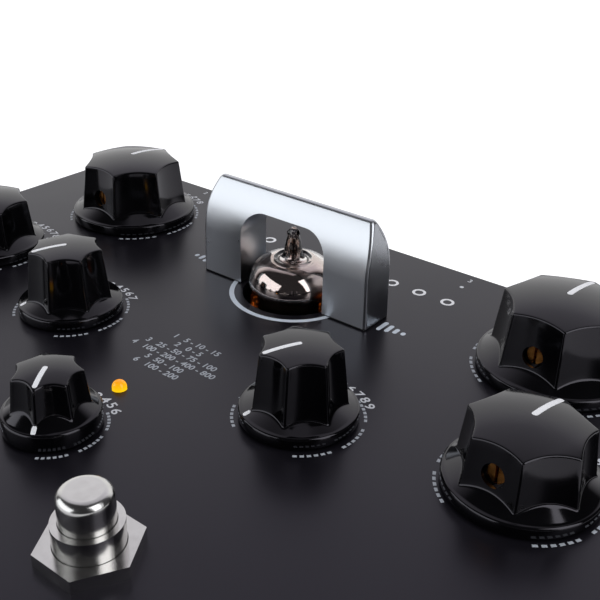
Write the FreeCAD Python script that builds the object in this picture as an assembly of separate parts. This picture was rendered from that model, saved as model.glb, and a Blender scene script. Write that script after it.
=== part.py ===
import FreeCAD, Part
import math
import os

# Delay unit: sheet-metal case with seven skirted dials, two foot switches and a guarded valve.
# Millimetres. +X right, +Y rear, +Z up. Origin: middle of the footprint, on the standing surface.

V = FreeCAD.Vector
UP = V(0, 0, 1)
REARWARD = V(0, 1, 0)
RIGHTWARD = V(1, 0, 0)

# Case
case_width = 212.0
case_depth = 158.0
case_height = 46.0
wall = 2.0
corner_radius = 2.5
top_edge_radius = 0.8
foot_height = 4.0
foot_radius = 8.0
foot_taper = 0.6
foot_inset_x = 16.0
foot_inset_y = 15.0
foot_screw_radius = 1.5
foot_screw_head_radius = 2.8
foot_screw_head_height = 1.8
foot_screw_overrun = 2.0
foot_recess_depth = 2.2
bottom_thickness = 1.5
bottom_clearance = 0.2
tab_width = 14.0
tab_height = 12.0
tab_inset_y = 26.0
cover_screw_height = 7.0
cover_screw_radius = 1.5
cover_screw_head_radius = 2.8
cover_screw_head_depth = 1.4
cover_screw_overrun = 1.5
screw_clearance = 0.1
vent_length = 26.0
vent_width = 2.6
vent_pitch = 6.0
vent_count = 7

# Dials
lobe_count = 7
shaft_radius = 3.0
shaft_clearance = 0.05
shaft_cover = 3.0
shaft_top_gap = 0.3
shaft_flat_depth = 0.6
shaft_flat_rise = 1.0
bushing_radius = 3.7
bushing_height = 3.4
panel_hole_clearance = 0.15
pot_body_radius = 8.0
pot_body_height = 8.0
pot_floor = 1.2
nut_across = 10.0
nut_thickness = 1.8
skirt_gap = 0.5
hub_recess_radius = 6.8
hub_recess_depth = 3.4
flute_depth = 0.65
lobe_round = 0.9
lobe_drop = 0.2
pointer_depth = 0.45
tick_inset = 0.75
tick_length = 1.55
rim_radius = 0.6
skirt_inner_share = 0.8
body_overlap = 0.5
set_screw_sink = 2.6
set_screw_mouth = 0.45
set_screw_slot = 0.6
set_screw_slot_depth = 0.8
set_screw_proud = 1.2

# Each dial size: top and base radius of the lobed body, skirt radius, heights above the panel
LARGE = dict(top=13.4, base=14.7, skirt=17.3, rim=3.0, foot=5.8, tip=16.3, crown=1.9,
             line_from=0.2, line_to=12.2, line_width=1.25, screw=1.9, screw_height=8.4)
MEDIUM = dict(top=11.6, base=12.6, skirt=14.7, rim=2.9, foot=5.2, tip=13.4, crown=1.9,
              line_from=0.3, line_to=10.4, line_width=1.2, screw=1.9, screw_height=8.0)
SMALL = dict(top=8.4, base=9.7, skirt=12.1, rim=2.9, foot=4.5, tip=15.8, crown=0.9,
             line_from=-0.3, line_to=7.7, line_width=1.0, screw=1.45, screw_height=8.2)
TINY = dict(top=6.9, base=7.6, skirt=9.7, rim=4.2, foot=6.4, tip=12.3, crown=1.15,
            line_from=0.2, line_to=6.3, line_width=1.0, screw=1.45, screw_height=8.4)

# The large and medium dials keep their distance from the sides of the case
large_inset = 39.8
medium_inset = 27.4
large_x = case_width / 2 - large_inset
medium_x = case_width / 2 - medium_inset
small_x = 34.4
large_back = 29.3
medium_back = 70.8
small_back = 79.2
tiny_back = 112.3

# Dial places: offset right of the middle, distance forward of the rear face, pointer at rest
# (degrees clockwise from straight back), size
DIALS = {
    "time": (-large_x, large_back, 0.0, LARGE),
    "mode": (large_x, large_back, 3.0, LARGE),
    "feedback": (-medium_x, medium_back, -154.3, MEDIUM),
    "tone": (medium_x, medium_back, 6.0, MEDIUM),
    "mix": (-small_x, small_back, -150.0, SMALL),
    "balance": (small_x, small_back, -150.0, SMALL),
    "level": (0.0, tiny_back, 150.0, TINY),
}

# Valve and its guard
valve_back = 38.1
glass_radius = 10.6
glass_wall = 0.9
glass_straight = 1.4
glass_shoulder = 9.5
dome_fullness = 0.748
dome_flat_radius = 5.24
dome_ring_radius = 4.67
dome_ring_width = 0.5
dome_ring_depth = 0.35
pip_top = 17.55
pip_base_radius = 2.4
pip_base_rise = 0.9
pip_tip_radius = 1.25
valve_seated_height = 47.0
valve_hole_radius = 12.4
silver_thickness = 0.15
silver_clearance = 0.03
silver_low = 2.3
guard_length = 50.6
guard_depth = 9.9
guard_ridge = 26.2
guard_straight = 11.4
guard_crest_radius = 1.3
guard_end_lean = 0.3
guard_end_straight = 16.0
guard_end_curve = 23.0
guard_end_radius = 0.9
arch_half_width = 12.75
arch_height = 19.7
arch_radius = 6.5
gasket_thickness = 0.4
gasket_inset = 0.3
guard_screw_offset = 19.0
guard_screw_radius = 2.0
guard_screw_depth = 9.0
guard_screw_end_gap = 1.5
guard_screw_head_radius = 3.6
guard_screw_head_height = 2.4

# Valve inside
base_thickness = 2.5
pin_radius = 0.5
pin_length = 6.0
pin_inner_length = 1.5
pin_circle_radius = 5.95
pin_positions = 10
mica_thickness = 0.4
mica_clearance = 0.15
upper_mica_drop = 3.0
lower_mica_rise = 7.0
anode_offset = 4.4
anode_width = 5.6
anode_depth = 11.0
anode_wall = 0.4
anode_waist = 1.1
cathode_radius = 0.8
cathode_overrun = 2.2
cathode_foot = 1.0
rod_radius = 0.5
rod_offset = 8.2
rod_overrun = 1.2
getter_ring_radius = 2.2
getter_wire = 0.35

# Boards
board_thickness = 1.6
main_board_inset = 9.0
main_board_back_gap = 0.5
spacer_radius = 3.0
spacer_inset = 16.0
board_screw_radius = 1.5
board_screw_head_radius = 2.8
board_screw_head_height = 1.8
control_board_margin = 9.0
control_board_back = 14.0
control_board_front = 119.5
control_hole_clearance = 1.5
link_length = 26.0
link_width = 5.0
link_back = 62.0
link_offset = -46.0
socket_radius = 10.5
socket_height = 7.55
pin_clearance = 0.05

# Lamp
lamp_back = 95.3
lamp_radius = 1.55
lamp_rise = 1.9
lamp_flange_radius = 1.9
lamp_flange = 1.0
lamp_leg = 0.25
lamp_leg_spacing = 1.27

# Foot switches
switch_offset = 32.7
switch_back = 131.0
switch_body_side = 17.0
switch_body_height = 18.0
switch_bushing_radius = 6.0
switch_bushing_rise = 7.0
switch_nut_across = 16.0
switch_nut_thickness = 2.6
plunger_radius = 4.7
plunger_clearance = 0.1
plunger_rise = 13.0
plunger_round = 1.6
plunger_sink = 9.0
plunger_floor_gap = 0.5
switch_travel = 2.0

# Rear connectors
outer_jack_inset = 20.0
inner_jack_inset = 44.0
control_jack_x = 31.0
jack_width = 15.0
jack_height = 15.0
jack_depth = 24.0
jack_bore_radius = 3.25
jack_bore_depth = 24.0
jack_thread_radius = 4.5
jack_rise = 3.4
jack_nut_across = 12.0
jack_nut_thickness = 2.2
inlet_offset = 0.0
inlet_width = 9.0
inlet_height = 11.0
inlet_depth = 14.0
inlet_bore_radius = 2.85
inlet_bore_depth = 9.5
inlet_pin_radius = 1.0
inlet_pin_sink = 1.5
inlet_nose_radius = 3.8
seat_gap = 0.05

# Places worked out from the sizes above
total_depth = case_depth + jack_rise
rear = total_depth / 2 - jack_rise
front = rear - case_depth
side = case_width / 2
panel_top = foot_height + case_height
panel_under = panel_top - wall
plate_top = foot_height + bottom_thickness
inner_side = side - wall
inner_rear = rear - wall
inner_front = front + wall
valve_y = rear - valve_back
guard_floor = panel_top + gasket_thickness
control_board_top = panel_under - pot_body_height
control_board_under = control_board_top - board_thickness
valve_top = panel_top + pip_top
valve_bottom = valve_top - valve_seated_height
main_board_height = valve_bottom - socket_height
board_under = main_board_height - board_thickness
shoulder_z = panel_top + glass_shoulder
switch_y = rear - switch_back
lamp_y = rear - lamp_back
outer_jack_x = side - outer_jack_inset
inner_jack_x = side - inner_jack_inset
jack_offsets = (-outer_jack_x, -inner_jack_x, control_jack_x, inner_jack_x, outer_jack_x)
jack_axis_z = main_board_height + jack_height / 2
inlet_axis_z = main_board_height + inlet_height / 2


def cylinder(radius, height, x, y, z, axis=UP):
    return Part.makeCylinder(radius, height, V(x, y, z), axis)


def block(x_low, x_high, y_low, y_high, z_low, z_high):
    size = (x_high - x_low, y_high - y_low, z_high - z_low)
    return Part.makeBox(size[0], size[1], size[2], V(x_low, y_low, z_low))


def hexagon(across, height, x, y, z, axis=UP):
    reach = across / math.sqrt(3)
    corners = [V(reach * math.cos(math.radians(60 * k)), reach * math.sin(math.radians(60 * k)), 0)
               for k in range(7)]
    prism = Part.Face(Part.makePolygon(corners)).extrude(UP * height)
    prism.Placement = FreeCAD.Placement(V(x, y, z), FreeCAD.Rotation(UP, axis))
    return prism


def face_of(edges):
    return Part.Face(Part.Wire(edges))


def line(a, b):
    return Part.makeLine(a, b)


def arc(a, middle, b):
    return Part.Arc(a, middle, b).toShape()


def turned(edges, x, y):
    solid = face_of(edges).revolve(V(0, 0, 0), UP, 360)
    solid.translate(V(x, y, 0))
    return solid


def slot(inner, outer, width, z_low, z_high):
    """A round-ended bar along +Y, from one distance to another."""
    half = width / 2
    a = V(-half, inner + half, z_low)
    b = V(-half, outer - half, z_low)
    c = V(half, outer - half, z_low)
    d = V(half, inner + half, z_low)
    edges = [line(a, b), arc(b, V(0, outer, z_low), c), line(c, d), arc(d, V(0, inner, z_low), a)]
    return face_of(edges).extrude(UP * (z_high - z_low))


def save(name, *solids):
    shape = solids[0] if len(solids) == 1 else Part.makeCompound(list(solids))
    shape.exportStep("parts/" + name + ".step")
    print(name, len(shape.Solids), round(shape.Volume, 1), shape.isValid())


# Case


def foot_places():
    return [(sx * (side - foot_inset_x), sy * (case_depth / 2 - foot_inset_y) + (front + rear) / 2)
            for sx in (-1, 1) for sy in (-1, 1)]


def cover_screw_places():
    return [(sx, sy * (case_depth / 2 - tab_inset_y) + (front + rear) / 2)
            for sx in (-1, 1) for sy in (-1, 1)]


def cover_screw(sx, y, extra):
    """A flush countersunk screw through a side wall; extra widens it for the holes."""
    inward = V(-sx, 0, 0)
    start = V(sx * side, y, foot_height + cover_screw_height)
    head = Part.makeCone(cover_screw_head_radius + extra, cover_screw_radius + extra,
                         cover_screw_head_depth, start, inward)
    length = wall + bottom_clearance + bottom_thickness + cover_screw_overrun
    return head.fuse(Part.makeCylinder(cover_screw_radius + extra, length, start, inward))


def top_cover():
    shell = block(-side, side, front, rear, foot_height, panel_top)
    upright = [e for e in shell.Edges if abs(e.tangentAt(e.FirstParameter).z) > 0.9]
    shell = shell.makeFillet(corner_radius, upright)
    rim = [e for e in shell.Edges if e.BoundBox.ZMin > panel_top - 0.01]
    shell = shell.makeFillet(top_edge_radius, rim)
    shell = shell.cut(block(-inner_side, inner_side, inner_front, inner_rear, 0, panel_under))
    holes = [cylinder(valve_hole_radius, case_height, 0, valve_y, foot_height + wall)]
    for x, back, angle, size in DIALS.values():
        radius = bushing_radius + panel_hole_clearance
        holes.append(cylinder(radius, 2 * wall, x, rear - back, panel_under - wall / 2))
    radius = lamp_radius + panel_hole_clearance
    holes.append(cylinder(radius, 2 * wall, 0, lamp_y, panel_under - wall / 2))
    for sx in (-1, 1):
        radius = switch_bushing_radius + panel_hole_clearance
        holes.append(cylinder(radius, 2 * wall, sx * switch_offset, switch_y, panel_under - wall / 2))
        radius = guard_screw_radius + screw_clearance
        holes.append(cylinder(radius, 2 * wall, sx * guard_screw_offset, valve_y, panel_under - wall / 2))
    for x in jack_offsets:
        radius = jack_thread_radius + panel_hole_clearance
        holes.append(cylinder(radius, 2 * wall, x, inner_rear - wall / 2, jack_axis_z, REARWARD))
    radius = inlet_nose_radius + panel_hole_clearance
    holes.append(cylinder(radius, 2 * wall, inlet_offset, inner_rear - wall / 2, inlet_axis_z, REARWARD))
    for sx, y in cover_screw_places():
        holes.append(cover_screw(sx, y, screw_clearance))
    return shell.cut(Part.makeCompound(holes))


def bottom_plate():
    edge_x = inner_side - bottom_clearance
    plate = block(-edge_x, edge_x, inner_front + bottom_clearance, inner_rear - bottom_clearance,
                  foot_height, plate_top)
    tabs = []
    for sx, y in cover_screw_places():
        inside = edge_x - bottom_thickness
        low, high = sorted((sx * edge_x, sx * inside))
        tabs.append(block(low, high, y - tab_width / 2, y + tab_width / 2, foot_height,
                          foot_height + tab_height))
    plate = plate.fuse(tabs)
    cuts = []
    for sx, y in cover_screw_places():
        start = V(sx * side, y, foot_height + cover_screw_height)
        radius = cover_screw_radius + screw_clearance
        cuts.append(Part.makeCylinder(radius, 3 * wall, start, V(-sx, 0, 0)))
    for x, y in foot_places():
        radius = foot_screw_radius + screw_clearance
        cuts.append(cylinder(radius, 3 * bottom_thickness, x, y, foot_height - 1))
    for x, y in spacer_places():
        radius = board_screw_radius + screw_clearance
        cuts.append(cylinder(radius, 3 * bottom_thickness, x, y, foot_height - 1))
    for k in range(vent_count):
        x = (k - (vent_count - 1) / 2) * vent_pitch
        hole = slot(-vent_length / 2, vent_length / 2, vent_width, foot_height - 1, plate_top + 1)
        hole.translate(V(x, valve_y, 0))
        cuts.append(hole)
    return plate.cut(Part.makeCompound(cuts)).removeSplitter()


def rubber_foot(x, y):
    body = Part.makeCone(foot_radius - foot_taper, foot_radius, foot_height, V(x, y, 0), UP)
    recess = cylinder(foot_screw_head_radius + 2 * screw_clearance, foot_recess_depth, x, y, 0)
    hole = cylinder(foot_screw_radius + screw_clearance, foot_height, x, y, 0)
    return body.cut(recess).cut(hole)


def foot_screw(x, y):
    head = cylinder(foot_screw_head_radius, foot_screw_head_height, x, y,
                    foot_recess_depth - foot_screw_head_height)
    shank = cylinder(foot_screw_radius, plate_top + foot_screw_overrun - foot_recess_depth, x, y,
                     foot_recess_depth)
    return head.fuse(shank)


# Dials


def lobed_wire(reach, z):
    """Seven lobes with small round tips and shallow hollow flutes between them."""
    edges = []
    step = 2 * math.pi / lobe_count
    half_tip = math.asin(lobe_round / 2 / reach)
    shoulder = reach - lobe_drop
    flute = reach * math.cos(step / 2) - flute_depth

    def at(radius, angle):
        return V(radius * math.sin(angle), radius * math.cos(angle), z)

    for k in range(lobe_count):
        middle = k * step
        edges.append(arc(at(shoulder, middle - half_tip), at(reach, middle),
                         at(shoulder, middle + half_tip)))
        edges.append(arc(at(shoulder, middle + half_tip), at(flute, middle + step / 2),
                         at(shoulder, middle + step - half_tip)))
    return Part.Wire(edges)


def domed_column(size, drop):
    """Everything below the domed top of a knob, lowered by drop."""
    reach = size["top"]
    crown = size["crown"]
    radius = (reach * reach + crown * crown) / (2 * crown)
    centre = panel_top + size["tip"] + crown - radius - drop
    outer = size["skirt"]
    rim_z = centre + math.sqrt(radius * radius - outer * outer)
    middle = outer / 2
    middle_z = centre + math.sqrt(radius * radius - middle * middle)
    low = V(0, 0, panel_top)
    edges = [line(low, V(outer, 0, panel_top)), line(V(outer, 0, panel_top), V(outer, 0, rim_z)),
             arc(V(outer, 0, rim_z), V(middle, 0, middle_z), V(0, 0, centre + radius)),
             line(V(0, 0, centre + radius), low)]
    return turned(edges, 0, 0)


def skirt_slope(size, drop):
    """The round skirt of a knob, with its sloping top lowered by drop."""
    floor = panel_top + skirt_gap
    rim = panel_top + size["rim"] - drop
    crest = panel_top + size["foot"] - drop
    reach = size["skirt"]
    inner = size["base"] * skirt_inner_share
    bend = rim_radius * (1 - math.sqrt(0.5))
    edges = [line(V(0, 0, floor), V(reach, 0, floor)),
             line(V(reach, 0, floor), V(reach, 0, rim - rim_radius)),
             arc(V(reach, 0, rim - rim_radius), V(reach - bend, 0, rim - bend),
                 V(reach - rim_radius, 0, rim)),
             line(V(reach - rim_radius, 0, rim), V(inner, 0, crest)),
             line(V(inner, 0, crest), V(0, 0, crest)),
             line(V(0, 0, crest), V(0, 0, floor))]
    return turned(edges, 0, 0)


def set_screw_cut(size):
    """Radial bore for the set screw, on the side away from the pointer."""
    height = panel_top + size["screw_height"]
    bore = Part.makeCylinder(size["screw"] + shaft_clearance, size["skirt"], V(0, 0, height),
                             V(0, -1, 0))
    mouth_start = size["base"] - set_screw_sink
    mouth = Part.makeCylinder(size["screw"] + set_screw_mouth, size["skirt"], V(0, -mouth_start, height),
                              V(0, -1, 0))
    return bore.fuse(mouth)


def knob_blank(size):
    low = panel_top + skirt_gap + body_overlap
    high = panel_top + size["tip"] + size["crown"] + body_overlap
    rise = high - low
    shrink = (size["base"] - size["top"]) / (size["tip"] - size["foot"])
    reach_low = size["base"] + shrink * (panel_top + size["foot"] - low)
    reach_high = reach_low - shrink * rise
    body = Part.makeLoft([lobed_wire(reach_low, low), lobed_wire(reach_high, high)], True, True)
    return body.common(domed_column(size, 0)).fuse(skirt_slope(size, 0)).removeSplitter()


def pointer_marks(size):
    """Painted line on the dome and short tick on the skirt, both filling shallow grooves."""
    line_bar = slot(size["line_from"], size["line_to"], size["line_width"],
                    panel_top + size["tip"] - size["crown"], panel_top + size["tip"] + 2 * size["crown"])
    tick_end = size["skirt"] - tick_inset
    tick_bar = slot(tick_end - tick_length, tick_end, size["line_width"],
                    panel_top + size["rim"] - 1, panel_top + size["foot"] + 1)
    top_line = line_bar.common(domed_column(size, 0)).cut(domed_column(size, pointer_depth))
    tick = tick_bar.common(skirt_slope(size, 0)).cut(skirt_slope(size, pointer_depth))
    return [top_line, tick]


def shaft_top(size):
    return panel_top + size["tip"] - shaft_cover


def dial_pieces(x, back, angle, size):
    knob = knob_blank(size).cut(Part.makeCompound(pointer_marks(size)))
    floor = panel_top + skirt_gap
    recess = cylinder(hub_recess_radius, hub_recess_depth, 0, 0, floor)
    bore = cylinder(shaft_radius + shaft_clearance, shaft_top(size) + shaft_top_gap - floor, 0, 0, floor)
    knob = knob.cut(recess).cut(bore).cut(set_screw_cut(size))
    shaft = cylinder(shaft_radius, shaft_top(size) - control_board_top - pot_floor, 0, 0,
                     control_board_top + pot_floor)
    flat_low = panel_top + bushing_height + shaft_flat_rise
    flat = block(-shaft_radius, shaft_radius, -2 * shaft_radius, shaft_flat_depth - shaft_radius,
                 flat_low, shaft_top(size) + 1)
    shaft = shaft.cut(flat)
    height = panel_top + size["screw_height"]
    tip = shaft_radius - shaft_flat_depth
    flute_here = size["base"] * math.cos(math.pi / lobe_count) - flute_depth
    head = flute_here - set_screw_sink + set_screw_proud
    screw = Part.makeCylinder(size["screw"], head - tip, V(0, -tip, height), V(0, -1, 0))
    slot_cut = block(-set_screw_slot / 2, set_screw_slot / 2, -head - 1, set_screw_slot_depth - head,
                     height - size["screw"], height + size["screw"])
    screw = screw.cut(slot_cut)
    pieces = [knob, Part.makeCompound(pointer_marks(size)), shaft, screw]
    for piece in pieces:
        piece.rotate(V(0, 0, 0), UP, -angle)
        piece.translate(V(x, rear - back, 0))
    return pieces


def pot_body(x, y):
    can = cylinder(pot_body_radius, pot_body_height, x, y, control_board_top)
    bushing = cylinder(bushing_radius, wall + bushing_height, x, y, panel_under)
    bore = cylinder(shaft_radius + shaft_clearance, pot_body_height + wall + bushing_height, x, y,
                    control_board_top + pot_floor - shaft_clearance)
    return can.fuse(bushing).cut(bore)


def pot_nut(x, y):
    nut = hexagon(nut_across, nut_thickness, x, y, panel_top)
    return nut.cut(cylinder(bushing_radius + shaft_clearance, nut_thickness, x, y, panel_top))


# Valve


def bulb_outline(shrink):
    """Half outline of the glass bulb from its open lower edge to the pip, moved inward by shrink."""
    radius = glass_radius - shrink
    top = shoulder_z - shrink
    straight = panel_top + glass_straight
    bulge = V(dome_flat_radius + (radius - dome_flat_radius) * dome_fullness, 0,
              straight + (top - straight) * dome_fullness)
    return [V(radius, 0, straight), bulge, V(dome_flat_radius, 0, top),
            V(dome_ring_radius, 0, top - dome_ring_depth), V(dome_ring_radius - dome_ring_width, 0, top)]


def valve_glass():
    points = bulb_outline(0)
    inner = bulb_outline(glass_wall)
    pip_base = V(pip_base_radius, 0, shoulder_z + pip_base_rise)
    pip_root = V((points[4].x + pip_base_radius) / 2, 0, shoulder_z + pip_base_rise / 4)
    tip_centre = valve_top - pip_tip_radius
    pip_neck = V(pip_tip_radius, 0, tip_centre)
    tip_slant = pip_tip_radius * math.sqrt(0.5)
    low = V(glass_radius, 0, valve_bottom)
    inner_low = V(glass_radius - glass_wall, 0, valve_bottom)
    edges = [line(low, points[0]), arc(points[0], points[1], points[2]), line(points[2], points[3]),
             line(points[3], points[4]), arc(points[4], pip_root, pip_base),
             line(pip_base, pip_neck),
             arc(pip_neck, V(tip_slant, 0, tip_centre + tip_slant), V(0, 0, valve_top)),
             line(V(0, 0, valve_top), V(0, 0, shoulder_z - glass_wall)),
             line(V(0, 0, shoulder_z - glass_wall), inner[2]), arc(inner[2], inner[1], inner[0]),
             line(inner[0], inner_low), line(inner_low, low)]
    return turned(edges, 0, valve_y)


def valve_silver():
    """Thin getter coating on the inside of the bulb's dome."""
    outer = bulb_outline(glass_wall + silver_clearance)
    inner = bulb_outline(glass_wall + silver_clearance + silver_thickness)
    edges = [arc(outer[0], outer[1], outer[2]), line(outer[2], V(0, 0, outer[2].z)),
             line(V(0, 0, outer[2].z), V(0, 0, inner[2].z)), line(V(0, 0, inner[2].z), inner[2]),
             arc(inner[2], inner[1], inner[0]), line(inner[0], outer[0])]
    cap = turned(edges, 0, valve_y)
    keep = cylinder(glass_radius, glass_shoulder, 0, valve_y, panel_top + silver_low)
    return cap.common(keep)


def pin_places():
    step = 360 / pin_positions
    angles = [math.radians(90 + step * (k + 0.5)) for k in range(pin_positions - 1)]
    return [(pin_circle_radius * math.cos(a), valve_y + pin_circle_radius * math.sin(a)) for a in angles]


def valve_base():
    disc = cylinder(glass_radius - glass_wall, base_thickness, 0, valve_y, valve_bottom)
    holes = [cylinder(pin_radius, base_thickness, x, y, valve_bottom) for x, y in pin_places()]
    return disc.cut(Part.makeCompound(holes))


def valve_pins():
    length = pin_length + base_thickness + pin_inner_length
    return [cylinder(pin_radius, length, x, y, valve_bottom - pin_length) for x, y in pin_places()]


upper_mica_z = panel_top - upper_mica_drop
lower_mica_z = valve_bottom + base_thickness + lower_mica_rise


def mica(z):
    radius = glass_radius - glass_wall - mica_clearance
    disc = cylinder(radius, mica_thickness, 0, valve_y, z)
    holes = []
    for sx in (-1, 1):
        holes.append(cylinder(cathode_radius, mica_thickness, sx * anode_offset, valve_y, z))
        holes.append(cylinder(rod_radius, mica_thickness, 0, valve_y + sx * rod_offset, z))
    return disc.cut(Part.makeCompound(holes))


def anode(sx):
    """Pressed box plate with a waist, open at both ends."""
    low = lower_mica_z + mica_thickness
    high = upper_mica_z

    def tube(grow):
        half_w = anode_width / 2 - grow
        half_d = anode_depth / 2 - grow
        waist = half_w - anode_waist
        points = [V(-half_w, -half_d, 0), V(-waist, -half_d / 3, 0), V(-waist, half_d / 3, 0),
                  V(-half_w, half_d, 0), V(half_w, half_d, 0), V(waist, half_d / 3, 0),
                  V(waist, -half_d / 3, 0), V(half_w, -half_d, 0)]
        prism = Part.Face(Part.makePolygon(points + points[:1])).extrude(UP * (high - low))
        prism.translate(V(sx * anode_offset, valve_y, low))
        return prism

    return tube(0).cut(tube(anode_wall))


def cathode(sx):
    low = lower_mica_z - cathode_foot
    return cylinder(cathode_radius, upper_mica_z + mica_thickness + cathode_overrun - low,
                    sx * anode_offset, valve_y, low)


def valve_supports():
    """Two side rods, and on one of them the wire ring that carried the getter."""
    low = valve_bottom + base_thickness
    high = upper_mica_z + mica_thickness + rod_overrun
    rods = [cylinder(rod_radius, high - low, 0, valve_y + sy * rod_offset, low) for sy in (-1, 1)]
    ring_y = valve_y - rod_offset + rod_radius + getter_ring_radius
    ring = Part.makeTorus(getter_ring_radius, getter_wire, V(0, ring_y, high - getter_wire), UP)
    return [rods[0].fuse(ring), rods[1]]


def valve_socket():
    body = cylinder(socket_radius, socket_height, 0, valve_y, main_board_height)
    holes = [cylinder(pin_radius + pin_clearance, socket_height, x, y, main_board_height)
             for x, y in pin_places()]
    return body.cut(Part.makeCompound(holes))


# Guard


def guard_bar():
    """The guard's pointed arch outline, seen from its end, drawn out along the whole length."""
    half = guard_depth / 2
    spring = guard_floor + guard_straight
    rise = guard_ridge - guard_straight
    radius = (half * half + rise * rise) / (2 * half)
    meet = math.acos((radius - half) / (radius - guard_crest_radius))
    crest = spring + (radius - guard_crest_radius) * math.sin(meet) + guard_crest_radius

    def flank(side_sign, angle):
        out = half - radius + radius * math.cos(angle)
        return V(0, side_sign * out, spring + radius * math.sin(angle))

    edges = [line(V(0, half, guard_floor), V(0, -half, guard_floor)),
             line(V(0, -half, guard_floor), flank(-1, 0)),
             arc(flank(-1, 0), flank(-1, meet / 2), flank(-1, meet)),
             arc(flank(-1, meet), V(0, 0, crest), flank(1, meet)),
             arc(flank(1, meet), flank(1, meet / 2), flank(1, 0)),
             line(flank(1, 0), V(0, half, guard_floor))]
    bar = face_of(edges).extrude(RIGHTWARD * guard_length)
    bar.translate(V(-guard_length / 2, valve_y, 0))
    return bar


def guard_reach(height):
    """Half length of the guard: the ends lean a little, then curve inwards towards the top."""
    foot = guard_length / 2
    lean = math.atan(guard_end_lean / guard_end_straight)
    if height <= guard_end_straight:
        return foot - height * math.tan(lean)
    centre_x = foot - guard_end_lean - guard_end_curve * math.cos(lean)
    above = height - guard_end_straight + guard_end_curve * math.sin(lean)
    return centre_x + math.sqrt(guard_end_curve ** 2 - above ** 2)


def guard_side():
    """The guard's outline seen from the front, as a block of the guard's depth."""

    def at(side_sign, height):
        return V(side_sign * guard_reach(height), 0, guard_floor + height)

    low = guard_end_straight
    high = guard_ridge
    middle = (low + high) / 2
    edges = [line(at(-1, 0), at(1, 0)), line(at(1, 0), at(1, low)),
             arc(at(1, low), at(1, middle), at(1, high)), line(at(1, high), at(-1, high)),
             arc(at(-1, high), at(-1, middle), at(-1, low)),
             line(at(-1, low), at(-1, 0))]
    plate = face_of(edges).extrude(REARWARD * guard_depth)
    plate.translate(V(0, valve_y - guard_depth / 2, 0))
    return plate


def guard():
    body = guard_bar().common(guard_side())
    inside = guard_reach(guard_ridge) - guard_end_radius
    ends = [e for e in body.Edges if abs(e.CenterOfMass.x) > inside and e.BoundBox.ZLength > guard_end_lean]
    body = body.makeFillet(guard_end_radius, ends)
    return body.cut(arch_cut()).cut(Part.makeCompound(guard_screw_bores()))


def arch_cut():
    low = guard_floor - 1
    high = guard_floor + arch_height
    w = arch_half_width
    bend = arch_radius * (1 - math.sqrt(0.5))
    edges = [line(V(-w, 0, low), V(-w, 0, high - arch_radius)),
             arc(V(-w, 0, high - arch_radius), V(-w + bend, 0, high - bend), V(-w + arch_radius, 0, high)),
             line(V(-w + arch_radius, 0, high), V(w - arch_radius, 0, high)),
             arc(V(w - arch_radius, 0, high), V(w - bend, 0, high - bend), V(w, 0, high - arch_radius)),
             line(V(w, 0, high - arch_radius), V(w, 0, low)), line(V(w, 0, low), V(-w, 0, low))]
    cut = face_of(edges).extrude(REARWARD * (guard_depth + 2))
    cut.translate(V(0, valve_y - guard_depth / 2 - 1, 0))
    return cut


def guard_screw_bores():
    return [cylinder(guard_screw_radius, guard_screw_depth, sx * guard_screw_offset, valve_y, guard_floor)
            for sx in (-1, 1)]


def guard_gasket(sx):
    inner = arch_half_width + gasket_inset
    outer = guard_length / 2 - gasket_inset
    half = guard_depth / 2 - gasket_inset
    low, high = sorted((sx * inner, sx * outer))
    pad = block(low, high, valve_y - half, valve_y + half, panel_top, guard_floor)
    hole = cylinder(guard_screw_radius + screw_clearance, gasket_thickness, sx * guard_screw_offset,
                    valve_y, panel_top)
    return pad.cut(hole)


def guard_screw(sx):
    x = sx * guard_screw_offset
    head = cylinder(guard_screw_head_radius, guard_screw_head_height, x, valve_y,
                    panel_under - guard_screw_head_height)
    length = wall + gasket_thickness + guard_screw_depth - guard_screw_end_gap
    return head.fuse(cylinder(guard_screw_radius, length, x, valve_y, panel_under))


# Boards


def spacer_places():
    edge_x = inner_side - main_board_inset - spacer_inset
    back_y = inner_rear - jack_depth - spacer_inset
    front_y = inner_front + main_board_inset + spacer_inset
    middle = (back_y + front_y) / 2
    return [(sx * edge_x, y) for sx in (-1, 1) for y in (back_y, middle, front_y)]


def main_board():
    edge_x = inner_side - main_board_inset
    board = block(-edge_x, edge_x, inner_front + main_board_inset, inner_rear - main_board_back_gap,
                  board_under, main_board_height)
    holes = [cylinder(board_screw_radius + screw_clearance, board_thickness, x, y, board_under)
             for x, y in spacer_places()]
    return board.cut(Part.makeCompound(holes))


def spacer(x, y):
    post = hexagon(2 * spacer_radius, board_under - plate_top, x, y, plate_top)
    return post.cut(cylinder(board_screw_radius + screw_clearance, board_under, x, y, plate_top))


def board_screw(x, y):
    head = cylinder(board_screw_head_radius, board_screw_head_height, x, y, main_board_height)
    return head.fuse(cylinder(board_screw_radius, main_board_height - foot_height, x, y, foot_height))


def control_board():
    edge_x = inner_side - control_board_margin
    board = block(-edge_x, edge_x, rear - control_board_front, rear - control_board_back,
                  control_board_under, control_board_top)
    return board.cut(cylinder(valve_hole_radius + control_hole_clearance, board_thickness, 0, valve_y,
                              control_board_under))


def board_link():
    y = rear - link_back
    return block(link_offset - link_length / 2, link_offset + link_length / 2,
                 y - link_width / 2, y + link_width / 2, main_board_height, control_board_under)


# Lamp


def lamp():
    flange_low = panel_under - lamp_flange
    stem = cylinder(lamp_radius, panel_top + lamp_rise - lamp_radius - flange_low, 0, lamp_y, flange_low)
    dome = Part.makeSphere(lamp_radius, V(0, lamp_y, panel_top + lamp_rise - lamp_radius))
    flange = cylinder(lamp_flange_radius, lamp_flange, 0, lamp_y, flange_low)
    legs = [block(x - lamp_leg, x + lamp_leg, lamp_y - lamp_leg, lamp_y + lamp_leg, control_board_top,
                  flange_low)
            for x in (-lamp_leg_spacing, lamp_leg_spacing)]
    return stem.fuse([dome, flange] + legs)


# Foot switches


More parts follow.
